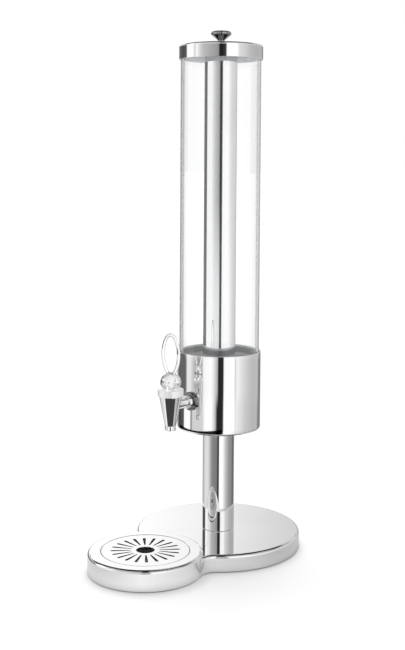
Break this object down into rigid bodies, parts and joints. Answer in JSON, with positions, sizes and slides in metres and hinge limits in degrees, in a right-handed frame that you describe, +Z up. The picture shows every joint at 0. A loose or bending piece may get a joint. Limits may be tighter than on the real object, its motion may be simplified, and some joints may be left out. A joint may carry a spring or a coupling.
{
  "type": "juice dispenser",
  "caption": "Free-standing juice dispenser: a tall clear tank with a central ice tube on a column, a lever tap in front and a round drip tray below it on the polished base.",
  "frame": {"origin": "the column's axis at the table, in the middle of the rest face", "axes": "+Z up along the column and tank, -Y to the front where the tap and the drip tray are, +X to the right as the object faces away from its user"},
  "size_m": [0.2346, 0.3448, 0.7417],
  "materials": {
    "polished_steel": "mirror polished stainless steel",
    "plain_steel": "turned or bright steel",
    "dark_chrome": "dark polished metal",
    "clear_tank": "clear polished plastic",
    "clear_handle": "clear moulded plastic",
    "white_plastic": "moulded white plastic",
    "frosted_plastic": "translucent moulded plastic",
    "silicone": "soft translucent silicone",
    "black_rubber": "matt black foam rubber",
    "cast_iron": "rough casting"
  },
  "bodies": {
    "stand": {"base_shell": "polished_steel", "base_floor": "plain_steel", "anti_slip_pad": "black_rubber", "ballast_disc": "cast_iron", "floor_screws": "plain_steel", "column_tube": "polished_steel", "column_foot_plug": "plain_steel", "column_head_plug": "plain_steel", "tie_rod": "plain_steel", "rod_nuts": "plain_steel", "rod_washers": "plain_steel", "cup_housing": "polished_steel", "tank_cradle": "white_plastic", "rim_band": "silicone", "tank_tube": "clear_tank", "tank_floor": "clear_tank", "tap_body": "polished_steel", "outlet_ring": "polished_steel", "escutcheon": "polished_steel", "shank_spacer": "silicone", "shank_washer": "silicone", "tap_nut": "plain_steel", "tap_bonnet": "polished_steel", "stem_seal": "silicone", "return_spring": "plain_steel"},
    "ice_tube": {"ice_tube": "polished_steel", "ice_tube_foot": "plain_steel"},
    "lid": {"lid_shell": "polished_steel", "lid_insert": "frosted_plastic", "lid_seal": "silicone", "lid_knob": "dark_chrome", "knob_screw": "plain_steel"},
    "drip_cup": {"drip_cup": "polished_steel"},
    "drip_grille": {"drip_grille": "polished_steel"},
    "valve_stem": {"valve_stem": "plain_steel", "valve_seat": "silicone"},
    "tap_handle": {"tap_handle": "clear_handle", "handle_pin": "plain_steel"}
  },
  "joints": [
    {"name": "ice_tube_lift", "type": "slide", "parent": "stand", "child": "ice_tube", "axis": [0, 0, 1], "range_m": [0, 0.53]},
    {"name": "lid_lift", "type": "slide", "parent": "ice_tube", "child": "lid", "axis": [0, 0, 1], "range_m": [0, 0.06]},
    {"name": "drip_cup_lift", "type": "slide", "parent": "stand", "child": "drip_cup", "axis": [0, 0, 1], "range_m": [0, 0.04]},
    {"name": "grille_lift", "type": "slide", "parent": "drip_cup", "child": "drip_grille", "axis": [0, 0, 1], "range_m": [0, 0.02]},
    {"name": "valve_stem_lift", "type": "slide", "parent": "stand", "child": "valve_stem", "axis": [0, 0, 1], "range_m": [0, 0.0036], "deforming": ["return_spring"]},
    {"name": "handle_tilt", "type": "hinge", "parent": "valve_stem", "child": "tap_handle", "pos_m": [0, -0.101, 0.2498], "axis": [1, 0, 0], "range_deg": [0, 30], "stiffness_Nm_per_rad": 0.0313, "springref_deg": -34.38}
  ],
  "couplings": [
    {"joint": "valve_stem_lift", "follows": "handle_tilt", "m_per_rad": 0.0066845}
  ]
}
